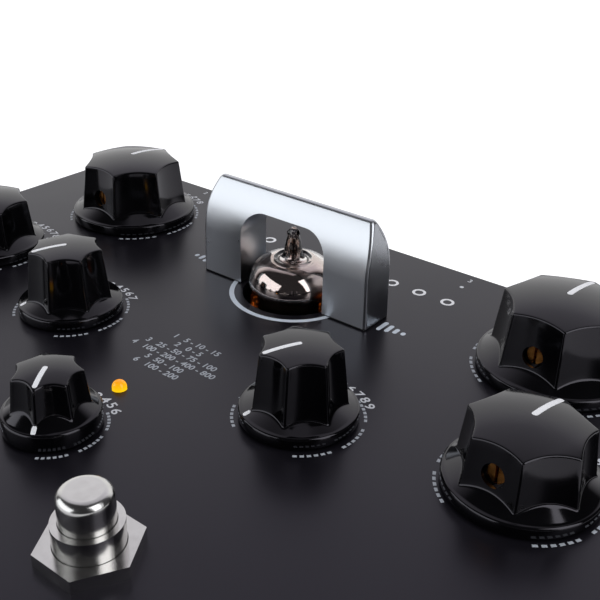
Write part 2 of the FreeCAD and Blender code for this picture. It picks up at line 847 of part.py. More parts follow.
def switch_body(x):
    half = switch_body_side / 2
    low = panel_under - switch_body_height
    can = block(x - half, x + half, switch_y - half, switch_y + half, low, panel_under)
    bushing = cylinder(switch_bushing_radius, wall + switch_bushing_rise, x, switch_y, panel_under)
    bore_low = panel_top - plunger_sink - switch_travel - plunger_floor_gap
    bore = cylinder(plunger_radius + plunger_clearance, panel_top + switch_bushing_rise - bore_low,
                    x, switch_y, bore_low)
    return can.fuse(bushing).cut(bore)


def switch_nut(x):
    nut = hexagon(switch_nut_across, switch_nut_thickness, x, switch_y, panel_top)
    return nut.cut(cylinder(switch_bushing_radius + plunger_clearance, switch_nut_thickness, x, switch_y,
                            panel_top))


def plunger(x):
    stem = cylinder(plunger_radius, plunger_sink + plunger_rise, x, switch_y, panel_top - plunger_sink)
    crown = [e for e in stem.Edges if e.BoundBox.ZMin > panel_top + plunger_rise - 0.01]
    return stem.makeFillet(plunger_round, crown)


# Rear connectors


def jack_body(x):
    half = jack_width / 2
    depth_front = inner_rear - jack_depth
    housing = block(x - half, x + half, depth_front, inner_rear - seat_gap, main_board_height,
                    main_board_height + jack_height)
    thread = cylinder(jack_thread_radius, jack_rise + wall + seat_gap, x, inner_rear - seat_gap,
                      jack_axis_z, REARWARD)
    bore = cylinder(jack_bore_radius, jack_bore_depth, x, rear + jack_rise - jack_bore_depth, jack_axis_z,
                    REARWARD)
    return housing.fuse(thread).cut(bore)


def jack_nut(x):
    nut = hexagon(jack_nut_across, jack_nut_thickness, x, rear, jack_axis_z, REARWARD)
    return nut.cut(cylinder(jack_thread_radius + shaft_clearance, jack_nut_thickness, x, rear, jack_axis_z,
                            REARWARD))


def supply_inlet():
    half = inlet_width / 2
    housing = block(inlet_offset - half, inlet_offset + half, inner_rear - inlet_depth,
                    inner_rear - seat_gap, main_board_height, main_board_height + inlet_height)
    nose = cylinder(inlet_nose_radius, wall + seat_gap, inlet_offset, inner_rear - seat_gap,
                    inlet_axis_z, REARWARD)
    start = rear - inlet_bore_depth
    bore = cylinder(inlet_bore_radius, inlet_bore_depth, inlet_offset, start, inlet_axis_z, REARWARD)
    reach = inlet_bore_depth - inlet_pin_sink
    pin = cylinder(inlet_pin_radius, reach, inlet_offset, start, inlet_axis_z, REARWARD)
    return housing.fuse(nose).cut(bore.cut(pin))


os.makedirs("parts", exist_ok=True)

save("top_cover", top_cover())
save("bottom_plate", bottom_plate())
save("rubber_feet", *[rubber_foot(x, y) for x, y in foot_places()])
save("foot_screws", *[foot_screw(x, y) for x, y in foot_places()])
save("cover_screws", *[cover_screw(sx, y, 0) for sx, y in cover_screw_places()])
for name, (x, back, angle, size) in DIALS.items():
    for kind, piece in zip(("knob", "pointer", "shaft", "set_screw"), dial_pieces(x, back, angle, size)):
        save(name + "_" + kind, piece)
dial_places = [(x, rear - back) for x, back, angle, size in DIALS.values()]
save("potentiometers", *[pot_body(x, y) for x, y in dial_places])
save("potentiometer_nuts", *[pot_nut(x, y) for x, y in dial_places])
save("valve_glass", valve_glass())
save("valve_silver", valve_silver())
save("valve_base", valve_base())
save("valve_pins", *valve_pins())
save("valve_micas", mica(upper_mica_z), mica(lower_mica_z))
save("valve_anodes", anode(-1), anode(1))
save("valve_cathodes", cathode(-1), cathode(1))
save("valve_supports", *valve_supports())
save("valve_socket", valve_socket())
save("valve_guard", guard())
save("guard_gaskets", guard_gasket(-1), guard_gasket(1))
save("guard_screws", guard_screw(-1), guard_screw(1))
save("main_board", main_board())
save("board_spacers", *[spacer(x, y) for x, y in spacer_places()])
save("board_screws", *[board_screw(x, y) for x, y in spacer_places()])
save("control_board", control_board())
save("board_link", board_link())
save("lamp", lamp())
save("switch_bodies", switch_body(-switch_offset), switch_body(switch_offset))
save("switch_nuts", switch_nut(-switch_offset), switch_nut(switch_offset))
save("tap_plunger", plunger(switch_offset))
save("bypass_plunger", plunger(-switch_offset))
save("jack_bodies", *[jack_body(x) for x in jack_offsets])
save("jack_nuts", *[jack_nut(x) for x in jack_offsets])
save("supply_inlet", supply_inlet())
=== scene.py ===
import bmesh
import bpy
import math
from mathutils import Matrix, Vector


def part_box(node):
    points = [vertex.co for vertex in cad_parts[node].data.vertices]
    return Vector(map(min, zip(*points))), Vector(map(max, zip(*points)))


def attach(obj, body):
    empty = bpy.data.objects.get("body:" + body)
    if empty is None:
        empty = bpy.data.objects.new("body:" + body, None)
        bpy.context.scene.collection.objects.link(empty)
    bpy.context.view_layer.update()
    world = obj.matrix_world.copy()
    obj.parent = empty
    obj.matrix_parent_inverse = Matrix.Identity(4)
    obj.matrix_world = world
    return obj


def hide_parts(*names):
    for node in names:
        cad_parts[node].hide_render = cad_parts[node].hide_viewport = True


# Delay unit: finishes, smooth dials, valve and guard, and printed marks, built round the fixed frame.
# Sizes are in millimetres and angles in degrees; objects are in metres.

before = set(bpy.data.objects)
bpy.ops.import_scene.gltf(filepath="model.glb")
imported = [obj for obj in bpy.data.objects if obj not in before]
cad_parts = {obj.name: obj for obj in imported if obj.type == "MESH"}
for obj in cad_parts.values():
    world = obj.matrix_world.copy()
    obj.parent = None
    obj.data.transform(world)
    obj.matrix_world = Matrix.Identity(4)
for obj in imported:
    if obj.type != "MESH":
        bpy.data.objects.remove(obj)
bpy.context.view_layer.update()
scene = bpy.context.scene
MM = 0.001


def box_mm(node):
    low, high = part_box(node)
    return low / MM, high / MM


cover_high = box_mm("top_cover")[1]
panel = cover_high.z
rear = cover_high.y
guard_low, guard_high = box_mm("valve_guard")
valve_y = (guard_low.y + guard_high.y) / 2

# Dials: sizes in millimetres above the panel and out from the axis; line is the pointer's start, end
# and width, ring is the radius of the printed dashes and label that of the numbers behind the dial
LARGE = dict(top=13.4, base=14.7, rim=3.0, foot=5.8, tip=16.3, crown=1.9, line=(0.2, 12.2, 1.25),
             screw=1.9, screw_height=8.4, ring=18.2, label=20.5)
MEDIUM = dict(top=11.6, base=12.6, rim=2.9, foot=5.2, tip=13.4, crown=1.9, line=(0.3, 10.4, 1.2),
              screw=1.9, screw_height=8.0, ring=15.5, label=17.9)
SMALL = dict(top=8.4, base=9.7, rim=2.9, foot=4.5, tip=15.8, crown=0.9, line=(-0.3, 7.7, 1.0),
             screw=1.45, screw_height=8.2, ring=13.3, label=14.7)
TINY = dict(top=6.9, base=7.6, rim=4.2, foot=6.4, tip=12.3, crown=1.15, line=(0.2, 6.3, 1.0),
            screw=1.45, screw_height=8.4, ring=10.6, label=12.2)
# Size of each dial and where its pointer stands at rest, in degrees clockwise from straight back
DIALS = {"time": (LARGE, 0.0), "mode": (LARGE, 3.0), "feedback": (MEDIUM, -154.3), "tone": (MEDIUM, 6.0),
         "mix": (SMALL, -150.0), "balance": (SMALL, -150.0), "level": (TINY, 150.0)}
lobe_count = 7
lobe_tip_radius = 0.55
flute_depth = 0.6
top_edge_round = 0.35
base_fillet = 0.32
# Skirt: its gap to the panel, the share of the base where its slope starts, and its edge
skirt_gap = 0.5
inner_share = 0.8
rim_radius = 0.6
rim_arc_start = 75
under_round = 0.3
under_bend = 0.08
# Hollow for the nut, bore for the shaft, and hole for the set screw
hub_radius = 6.8
hub_depth = 3.4
shaft_bore = 3.05
shaft_cover = 2.7
screw_mouth = 0.4
screw_seat = 0.9
screw_clearance = 0.06
# Tick on the skirt, and how far it and the pointer line stand out of the surface and reach into it
tick_length = 1.55
tick_inset = 0.4
marker_proud = 0.04
marker_depth = 0.5
marker_edge_drop = 0.04
marker_edge_share = 0.9
marker_least_half = 0.01

# How finely the dials are drawn. The shares run from the middle of the dome to its edge, and from the
# foot of the wall to the edge of the skirt.
DOME_SHARES = (0.04, 0.15, 0.3, 0.45, 0.6, 0.72, 0.82, 0.9, 0.96, 1.0)
SKIRT_SHARES = (0.0, 0.12, 0.25, 0.4, 0.55, 0.7, 0.85, 1.0)
tip_steps = 8
flute_steps = 22
wall_steps = 8
round_steps = 5
bore_steps = 64
marker_rows = 28
marker_columns = 8
settle_rounds = 6
knob_sharp_angle = 32
marker_sharp_angle = 50

# Valve
glass_radius = 10.6
glass_wall = 0.9
glass_straight = panel + 1.4
shoulder = panel + 9.5
dome_fullness = 0.748
flat_radius = 5.24
pip_top = panel + 17.55
film_gap = 0.03
film_thickness = 0.12
turn_steps = 144
dome_steps = 30
film_steps = 40
# The ring and neck round the pip: radius and rise above the bulb's shoulder
PIP_NECK = ((5.0, 0.10), (4.67, 0.16), (4.35, 0.02), (4.1, -0.22), (3.75, -0.30), (3.4, -0.18),
            (3.05, 0.06), (2.75, 0.36), (2.52, 0.8), (2.36, 1.4), (2.22, 2.3), (2.06, 3.3), (1.86, 4.3),
            (1.64, 5.2))
# The pip's uneven end: radius, rise, and how far it is out of round
PIP_END = ((1.50, 5.7, 0.03), (1.46, 6.0, 0.08), (1.56, 6.35, 0.13), (1.52, 6.75, 0.15),
           (1.28, 7.15, 0.15), (1.10, 7.45, 0.10), (0.82, 7.75, 0.08), (0.42, 7.96, 0.04))
# The narrow hollow inside the pip: radius and rise, then the radius of its mouth and the rise of its end
PIP_HOLLOW = ((1.15, 0.3), (0.85, 1.8), (0.62, 3.6), (0.34, 5.0))
hollow_mouth = 1.75
hollow_rise = 5.4
# The film's colour changes between its foot and the top of its painted shade, dark and brown at the
# foot: heights above the panel where it starts to mirror, where the dark and the brown end, and where
# it is plain mirror
film_foot = panel - 3.0
painted_shade_top = panel + 4.3
mirror_start = 1.8
dark_end = 2.0
brown_end = 2.6
plain_mirror_start = 3.3
painted_shade_waver = 0.03
# Painted glow on the film stands in for the heaters' light seen through it, at three turns: the
# angles beside each, and the heights above the panel, at which the glow is full and gone
painted_glow_turns = (-128.0, 8.0, 110.0)
painted_glow_full = 6
painted_glow_gone = 21
painted_glow_high_full = 1.0
painted_glow_high_gone = 2.8

# Guard: an arch whose flanks meet in a rounded crest, and its opening with softened edges
guard_ridge = 26.2
guard_straight = 11.4
guard_crest = 1.3
guard_end_lean = 0.3
guard_end_straight = 16.0
guard_end_curve = 23.0
guard_end_radius = 0.9
arch_half_width = 12.75
arch_height = 19.7
arch_radius = 6.5
arch_overrun = 3
opening_soft = 0.5
opening_angle = 40
straight_steps = 4
flank_steps = 30
crest_steps = 8
corner_steps = 7
arch_steps = 16
soft_steps = 3

# Printed marks
ink_thickness = 0.03
ink_sink = 0.02
capital_share = 0.70
stroke_gain = 0.02
letter_steps = 4
bar_end_steps = 6
dash_groups = 7
group_pitch = 43.5
dash_pitch = 5.8
dashes_in_group = 6
dash_share = 0.62
dash_width = 0.62
dash_step = 4.0
# How many plain numbers, counted from 1, stand in an arc behind each dial
LABEL_NUMBERS = {"time": 8, "mode": 6, "feedback": 8, "tone": 8, "mix": 7, "balance": 9, "level": 6}
label_height = 2.0
label_pitch = 2.42
label_widen = 1.3
# The list in front of the valve: six centred lines, each a number and plain values
LIST_LINES = ("1   5 - 10 - 15", "2   0 - 5", "3   25 - 50 - 75 - 100", "4   100 - 200 - 400 - 800",
              "5  50 - 100", "6   100 - 200")
list_back = 78.8
list_pitch = 2.54
list_height = 1.65
list_widen = 1.05
# The wide row behind the guard: evenly spaced open rings
row_rings = 9
row_back = 17.7
row_pitch = 8.1
row_ring = 1.75
row_stroke = 0.7
row_step = 12
# Marks at the rear sockets: two pairs lie in from the sides, and one socket has its own place
outer_jack_inset = 20.0
inner_jack_inset = 44.0
control_jack_x = 31.0
jack_number_back = 3.7
jack_number_height = 1.6
jack_dot_back = 8.1
jack_dot = 1.1
# The broad ring round the valve and the fan of bars at each end of the guard
valve_ring_inner = 14.5
valve_ring_outer = 15.7
valve_ring_step = 3.0
fan_bars = 4
fan_start = 26.9
fan_pitch = 1.9
fan_length = 4.6
fan_shrink = 1.05
fan_width = 1.1

# Camera, as the photograph was taken
camera_azimuth = 37.51
camera_elevation = 27.79
camera_roll = 1.50
camera_lens = 56.47
camera_sensor = 36.0
camera_near = 5.0
camera_far = 50000.0
camera_place = (128.35, -124.84, 157.47)

# Surround behind the object: its brightness at heights above the horizon, and the angles from its middle
# at which it starts to fade and is gone. Mirrored in the object it is plain white up to white_full, and
# has this brightness above white_gone. The floor's width is in metres.
white_full = 26
white_gone = 44
BACKDROP = [(0, 1.0), (white_full, 1.05), (white_gone, 0.72), (60, 0.58), (78, 0.38)]
backdrop_azimuth = -142.5
backdrop_half = 40.0
backdrop_fade = 60.0
backdrop_tint = (0.99, 0.97, 1.06)
front_radiance = 0.03
floor_in_mirrors = 0.25
floor_width = 12.0


# Materials


class Shading:
    """The nodes of a material or of the surround, with short ways to add to them.

    A node's inputs are filled by keywords, where an underscore stands for a space. A value is another
    node's output, a number, or a colour in three parts."""

    def __init__(self, tree):
        self.nodes = tree.nodes
        self.links = tree.links

    def feed(self, socket, value):
        if isinstance(value, bpy.types.NodeSocket):
            self.links.new(value, socket)
        elif isinstance(value, tuple):
            socket.default_value = (*value, 1.0)
        else:
            socket.default_value = value

    def fill(self, node, **inputs):
        for name, value in inputs.items():
            self.feed(node.inputs[name.replace("_", " ")], value)
        return node

    def add(self, kind, **inputs):
        return self.fill(self.nodes.new("ShaderNode" + kind), **inputs)

    def coordinates(self, kind="Object"):
        return self.add("TexCoord").outputs[kind]

    def noise(self, scale, detail=2.0):
        return self.add("TexNoise", Scale=scale, Detail=detail, Vector=self.coordinates()).outputs["Fac"]

    def ramp(self, source, stops):
        """A colour that follows a value through stops, each a place from 0 to 1 and its colour."""
        made = self.add("ValToRGB", Fac=source)
        elements = made.color_ramp.elements
        while len(elements) < len(stops):
            elements.new(0.5)
        for element, (place, color) in zip(elements, stops):
            element.position = place
            element.color = (*color, 1.0)
        return made.outputs["Color"]

    def spread(self, source, low, high, first=0.3, last=0.7):
        """A value that runs from low to high while its source runs from first to last."""
        made = self.add("MapRange", Value=source, From_Min=first, From_Max=last, To_Min=low, To_Max=high)
        return made.outputs["Result"]

    def maths(self, operation, a, b=0.0):
        """One operation on two values."""
        made = self.add("Math")
        made.operation = operation
        self.feed(made.inputs[0], a)
        self.feed(made.inputs[1], b)
        return made.outputs["Value"]

    def vector_maths(self, operation, a, b=(0.0, 0.0, 0.0)):
        """One operation on a vector and a fixed one."""
        made = self.add("VectorMath")
        made.operation = operation
        self.feed(made.inputs[0], a)
        made.inputs[1].default_value = b
        return made.outputs["Value" if operation == "DOT_PRODUCT" else "Vector"]

    def upward(self, vector):
        """The part of a vector that points up."""
        return self.add("SeparateXYZ", Vector=vector).outputs["Z"]

    def height_share(self, low, high):
        """Runs from 0 at one height above the standing surface to 1 at another, both in millimetres."""
        return self.spread(self.upward(self.coordinates()), 0.0, 1.0, low * MM, high * MM)

    def mixed(self, factor, a, b):
        """Colour a, which gives way to colour b as the factor grows from 0 to 1."""
        made = self.add("Mix")
        made.data_type = "RGBA"
        return self.fill(made, Factor=factor, A=a, B=b).outputs["Result"]

    def sight(self):
        """Two values that are 1 for what the camera sees: straight, and mirrored or through glass."""
        rays = self.add("LightPath").outputs
        bent = self.maths("MAXIMUM", rays["Is Glossy Ray"], rays["Is Transmission Ray"])
        return rays["Is Camera Ray"], bent


FINISH = {}


class Finish(Shading):
    """A new material round one shader, kept in FINISH under its name."""

    def __init__(self, name):
        self.material = bpy.data.materials.new(name)
        self.material.use_nodes = True
        super().__init__(self.material.node_tree)
        self.shader = self.nodes["Principled BSDF"]
        FINISH[name] = self.material

    def look(self, **inputs):
        self.fill(self.shader, **inputs)

    def bump(self, scale, strength, depth, detail=2.0):
        height = self.noise(scale, detail)
        made = self.add("Bump", Strength=strength, Distance=depth * MM, Height=height)
        self.look(Normal=made.outputs["Normal"])


def finish(name, dark, light, rough, patch=60.0, grain=None, **sockets):
    """A procedural finish: colour and roughness vary softly in patches, and grain adds a fine bump.

    patch and the scale in grain count waves per metre; grain is (scale, strength, depth in mm)."""
    made = Finish(name)
    source = made.noise(patch, 4.0)
    made.look(Base_Color=made.ramp(source, [(0.3, dark), (0.7, light)]),
              Roughness=made.spread(source, *rough), **sockets)
    if grain:
        made.bump(*grain)


def glass_finish():
    """Clear bulb glass, tinted dark as painted shade in the drawn-off pip above the dome."""
    made = Finish("bulb_glass")
    rise = made.height_share(shoulder - 0.5, pip_top)
    # The dark stops are painted shade in the pip; the glass turns clear again towards its tip.
    stops = [(0.0, (0.94, 0.91, 0.88)), (0.10, (0.90, 0.85, 0.82)), (0.22, (0.28, 0.21, 0.18)),
             (0.68, (0.24, 0.18, 0.15)), (0.86, (0.85, 0.83, 0.82))]
    made.look(Base_Color=made.ramp(rise, stops), Transmission_Weight=1.0, Roughness=0.0, IOR=1.5)
    made.bump(140.0, 0.08, 0.4, 1.0)


def glow_patches(made):
    """1 in the middle of each patch of painted glow for the heaters' light, and 0 between them."""
    film_radius = glass_radius - glass_wall
    dim = film_radius * math.cos(math.radians(painted_glow_gone))
    full = film_radius * math.cos(math.radians(painted_glow_full))
    around = 0.0
    for turn in painted_glow_turns:
        a = math.radians(turn)
        outward = (math.cos(a) / MM, math.sin(a) / MM, 0.0)
        reach = made.vector_maths("DOT_PRODUCT", made.coordinates(), outward)
        from_axis = made.maths("SUBTRACT", reach, valve_y * math.sin(a))
        around = made.maths("MAXIMUM", around, made.spread(from_axis, 0.0, 1.0, dim, full))
    return around


def silver_finish():
    """Mirror film with painted shade at its foot, and painted glow there for the heaters' light."""
    made = Finish("getter_silver")

    def share(height):
        """Where a height above the panel lies between the film's foot and the top of the painted shade."""
        return (panel + height - film_foot) / (painted_shade_top - film_foot)

    # Noise makes the top edge of the painted shade waver.
    painted_shade_noise = made.spread(made.noise(220.0, 3.0), -painted_shade_waver, painted_shade_waver, 0.2, 0.8)
    rise = made.maths("ADD", made.height_share(film_foot, painted_shade_top), painted_shade_noise)
    # Dark, then brown, up the film's foot: painted shade below the mirror.
    tint = [(0.0, (0.012, 0.008, 0.006)), (share(dark_end), (0.022, 0.015, 0.012)),
            (share(brown_end), (0.22, 0.18, 0.17)), (share(plain_mirror_start), (0.66, 0.58, 0.57))]
    mirror = made.spread(rise, 0.0, 1.0, share(mirror_start), share(brown_end))
    made.look(Base_Color=made.ramp(rise, tint), Metallic=mirror,
              Roughness=made.spread(mirror, 0.22, 0.05, 0.0, 1.0))
    low = made.spread(rise, 1.0, 0.0, share(painted_glow_high_full), share(painted_glow_high_gone))
    # Noise breaks the painted glow up into small painted glints.
    painted_glints = made.spread(made.noise(1100.0), 0.02, 1.0, 0.50, 0.68)
    glow = made.maths("MULTIPLY", made.maths("MULTIPLY", glow_patches(made), low), painted_glints)
    made.look(Emission_Strength=glow, Emission_Color=(1.0, 0.20, 0.02))


def lamp_finish():
    """Lit amber lens, deeper at the top and brighter low down where the light gathers."""
    made = Finish("lamp_amber")
    glow = [(0.0, (1.0, 0.62, 0.004)), (0.35, (0.98, 0.50, 0.002)), (0.7, (0.93, 0.38, 0.001)),
            (1.0, (0.75, 0.24, 0.001))]
    rise = made.height_share(panel, box_mm("lamp")[1].z)
    made.look(Emission_Color=made.ramp(rise, glow), Emission_Strength=1.0, Base_Color=(0.5, 0.18, 0.01),
              Roughness=0.15)


def cathode_finish():
    """Oxide sleeve that glows dull orange."""
    made = Finish("cathode")
    source = made.noise(900.0)
    made.look(Base_Color=made.ramp(source, [(0.3, (0.35, 0.33, 0.30)), (0.7, (0.6, 0.57, 0.52))]),
              Emission_Color=made.ramp(source, [(0.3, (1.0, 0.20, 0.02)), (0.7, (1.0, 0.34, 0.05))]),
              Emission_Strength=1.2, Roughness=0.7)


finish("black_enamel", (0.0055, 0.0050, 0.0070), (0.0075, 0.0068, 0.0092), (0.29, 0.33), patch=45.0,
       grain=(1900.0, 0.05, 0.02), IOR=1.41, Specular_Tint=(0.87, 0.82, 1.0))
finish("bottom_steel", (0.012, 0.012, 0.013), (0.02, 0.02, 0.022), (0.45, 0.6), grain=(1500.0, 0.2, 0.03))
finish("rubber", (0.012, 0.012, 0.012), (0.022, 0.022, 0.022), (0.7, 0.85), grain=(2500.0, 0.3, 0.05))
finish("black_screws", (0.02, 0.02, 0.021), (0.035, 0.035, 0.037), (0.3, 0.45), Metallic=0.8)
finish("zinc", (0.42, 0.43, 0.45), (0.58, 0.59, 0.60), (0.28, 0.42), patch=300.0, Metallic=1.0)
finish("knob_black", (0.0010, 0.0010, 0.0013), (0.0020, 0.0020, 0.0024), (0.07, 0.12), patch=120.0,
       grain=(420.0, 0.03, 0.02), IOR=1.49, Specular_Tint=(0.95, 0.91, 1.0))
finish("pointer_white", (0.90, 0.91, 0.92), (0.95, 0.96, 0.97), (0.35, 0.5), patch=700.0,
       grain=(1800.0, 0.15, 0.03))
finish("shaft_metal", (0.45, 0.45, 0.44), (0.60, 0.60, 0.58), (0.25, 0.4), patch=500.0, Metallic=1.0)
finish("brass", (0.30, 0.11, 0.025), (0.62, 0.28, 0.07), (0.22, 0.40), patch=700.0, Metallic=1.0)
finish("can_metal", (0.45, 0.46, 0.47), (0.56, 0.57, 0.58), (0.35, 0.5), Metallic=1.0)
finish("nickel", (0.58, 0.57, 0.55), (0.68, 0.67, 0.65), (0.14, 0.24), patch=300.0, Metallic=1.0)
glass_finish()
silver_finish()
finish("anode_metal", (0.012, 0.012, 0.013), (0.025, 0.025, 0.025), (0.5, 0.7), patch=400.0, Metallic=0.6)
finish("mica", (0.10, 0.08, 0.06), (0.22, 0.18, 0.14), (0.25, 0.4), patch=500.0)
cathode_finish()
finish("wire", (0.50, 0.50, 0.49), (0.62, 0.61, 0.60), (0.25, 0.4), patch=600.0, Metallic=1.0)
finish("ceramic", (0.62, 0.60, 0.55), (0.75, 0.73, 0.68), (0.35, 0.5), patch=250.0)
finish("satin_alloy", (0.59, 0.61, 0.635), (0.63, 0.65, 0.675), (0.27, 0.31), patch=80.0,
       grain=(5200.0, 0.10, 0.01), Metallic=1.0)
finish("gasket", (0.006, 0.006, 0.006), (0.012, 0.012, 0.012), (0.6, 0.8))
finish("board_green", (0.006, 0.05, 0.02), (0.01, 0.085, 0.035), (0.25, 0.35), patch=150.0)
finish("link_black", (0.01, 0.01, 0.01), (0.02, 0.02, 0.02), (0.5, 0.6))
lamp_finish()
finish("jack_black", (0.010, 0.010, 0.011), (0.018, 0.018, 0.019), (0.35, 0.5), patch=300.0)
finish("print_white", (0.66, 0.68, 0.71), (0.74, 0.76, 0.79), (0.45, 0.6), patch=900.0)
finish("print_dim", (0.40, 0.43, 0.47), (0.48, 0.51, 0.55), (0.45, 0.6), patch=900.0)
finish("print_pale", (0.58, 0.64, 0.71), (0.67, 0.73, 0.80), (0.40, 0.55), patch=500.0)

# The frame's nodes in each finish
NODES = {
    "black_enamel": ["top_cover"], "bottom_steel": ["bottom_plate"], "rubber": ["rubber_feet"],
    "black_screws": ["cover_screws"], "zinc": ["foot_screws", "guard_screws", "board_screws"],
    "knob_black": [dial + "_knob" for dial in DIALS],
    "pointer_white": [dial + "_pointer" for dial in DIALS],
    "shaft_metal": [dial + "_shaft" for dial in DIALS],
    "brass": [dial + "_set_screw" for dial in DIALS],
    "can_metal": ["potentiometers"],
    "nickel": ["potentiometer_nuts", "board_spacers", "switch_bodies", "switch_nuts", "tap_plunger",
               "bypass_plunger", "jack_nuts"],
    "bulb_glass": ["valve_glass", "valve_base"], "getter_silver": ["valve_silver"],
    "anode_metal": ["valve_anodes"], "mica": ["valve_micas"], "cathode": ["valve_cathodes"],
    "wire": ["valve_pins", "valve_supports"], "ceramic": ["valve_socket"],
    "satin_alloy": ["valve_guard"], "gasket": ["guard_gaskets"],
    "board_green": ["main_board", "control_board"], "link_black": ["board_link"],
    "lamp_amber": ["lamp"], "jack_black": ["jack_bodies", "supply_inlet"],
}
for slot_name, nodes in NODES.items():
    for node in nodes:
        cad_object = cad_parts[node]
        cad_object.data.materials.clear()
        cad_object.data.materials.append(FINISH[slot_name])


# Mesh helpers


def place_object(name, data):
    """Puts a mesh, text, lamp or camera in the scene."""
    made = bpy.data.objects.new(name, data)
    scene.collection.objects.link(made)
    return made


def finished_mesh(name, work):
    """The mesh of a piece of work that is done."""
    mesh = bpy.data.meshes.new(name)
    work.to_mesh(mesh)
    work.free()
    return mesh


def add_piece(name, vertices, faces, finish_name, body, move=Matrix.Identity(4)):
    """A smooth-shaded mesh from points in millimetres, riding on a body."""
    mesh = bpy.data.meshes.new(name)
    placed = [tuple((move @ Vector(v)) * MM) for v in vertices]
    mesh.from_pydata(placed, [], faces)
    mesh.validate()
    work = bmesh.new()
    work.from_mesh(mesh)
    bmesh.ops.recalc_face_normals(work, faces=work.faces)
    work.to_mesh(mesh)
    work.free()
    mesh.polygons.foreach_set("use_smooth", [True] * len(mesh.polygons))
    mesh.materials.append(FINISH[finish_name])
    piece = place_object(name, mesh)
    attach(piece, body)
    return piece


def skin(rings, centre_first=None, centre_last=None):
    """Quads between rings of equal length, closed round, with optional centre points at the ends."""
    count = len(rings[0])
    vertices = [p for ring in rings for p in ring]
    faces = []
    for k in range(len(rings) - 1):
        for i in range(count):
            j = (i + 1) % count
            faces.append((k * count + i, k * count + j, (k + 1) * count + j, (k + 1) * count + i))
    if centre_first is not None:
        vertices.append(centre_first)
        faces += [(i, (i + 1) % count, len(vertices) - 1) for i in range(count)]
    if centre_last is not None:
        start = (len(rings) - 1) * count
        vertices.append(centre_last)
        faces += [(start + i, start + (i + 1) % count, len(vertices) - 1) for i in range(count)]
    return vertices, faces


def joined(first, second):
    """The points and faces of two shapes as one."""
    vertices, faces = first
    more_vertices, more_faces = second
    offset = len(vertices)
    return vertices + more_vertices, faces + [tuple(i + offset for i in face) for face in more_faces]


def arc_points(centre, radius, first, last, steps):
    """Points (r, z) on an arc; angles in degrees from the +r direction."""
    angles = [math.radians(first + (last - first) * k / steps) for k in range(steps + 1)]
    return [(centre[0] + radius * math.cos(a), centre[1] + radius * math.sin(a)) for a in angles]


def curve_points(a, control, b, steps):
    """Quadratic curve from a to b, without its two ends."""
    made = []
    for k in range(1, steps):
        t = k / steps
        parts = zip(a, control, b)
        made.append(tuple((1 - t) ** 2 * p + 2 * t * (1 - t) * q + t * t * r for p, q, r in parts))
    return made


def apply_modifiers(piece):
    shown = bpy.context.evaluated_depsgraph_get()
    mesh = bpy.data.meshes.new_from_object(piece.evaluated_get(shown))
    piece.modifiers.clear()
    piece.data = mesh


def cut_away(piece, cutter):
    """Cuts a mesh out of a piece for good."""
    holder = place_object("cutter", cutter)
    modifier = piece.modifiers.new("hole", "BOOLEAN")
    modifier.operation = "DIFFERENCE"
    modifier.solver = "EXACT"
    modifier.object = holder
    apply_modifiers(piece)
    bpy.data.objects.remove(holder)


def mark_sharp(piece, angle):
    """Edges steeper than the angle stay crisp under smooth shading."""
    work = bmesh.new()
    work.from_mesh(piece.data)
    for edge in work.edges:
        if len(edge.link_faces) == 2 and edge.calc_face_angle(0) > math.radians(angle):
            edge.smooth = False
    work.to_mesh(piece.data)
    work.free()


# Dials


def lobe_outline(reach):
    """Closed outline of seven rounded lobes joined by hollow flutes, the first lobe on +Y."""
    half_step = math.pi / lobe_count
    flute_middle = reach * math.cos(half_step) - flute_depth
    tip_centre = reach - lobe_tip_radius
    numerator = (lobe_tip_radius ** 2 - tip_centre ** 2 - flute_middle ** 2
                 + 2 * tip_centre * flute_middle * math.cos(half_step))
    flute_radius = numerator / (2 * (flute_middle - tip_centre * math.cos(half_step) - lobe_tip_radius))
    flute_centre = flute_middle + flute_radius
    lean = math.atan2(flute_centre * math.sin(half_step), flute_centre * math.cos(half_step) - tip_centre)
    swing = lean - half_step
    points = []
    for lobe in range(lobe_count):
        to_lobe = Matrix.Rotation(-2 * half_step * lobe, 2)
        to_flute = Matrix.Rotation(-2 * half_step * (lobe + 0.5), 2)
        for k in range(tip_steps):
            a = lean * (2 * k / tip_steps - 1)
            points.append(to_lobe @ Vector((lobe_tip_radius * math.sin(a),
                                            tip_centre + lobe_tip_radius * math.cos(a))))
        for k in range(flute_steps):
            a = swing * (1 - 2 * k / flute_steps)
            points.append(to_flute @ Vector((-flute_radius * math.sin(a),
                                             flute_centre - flute_radius * math.cos(a))))
    return points


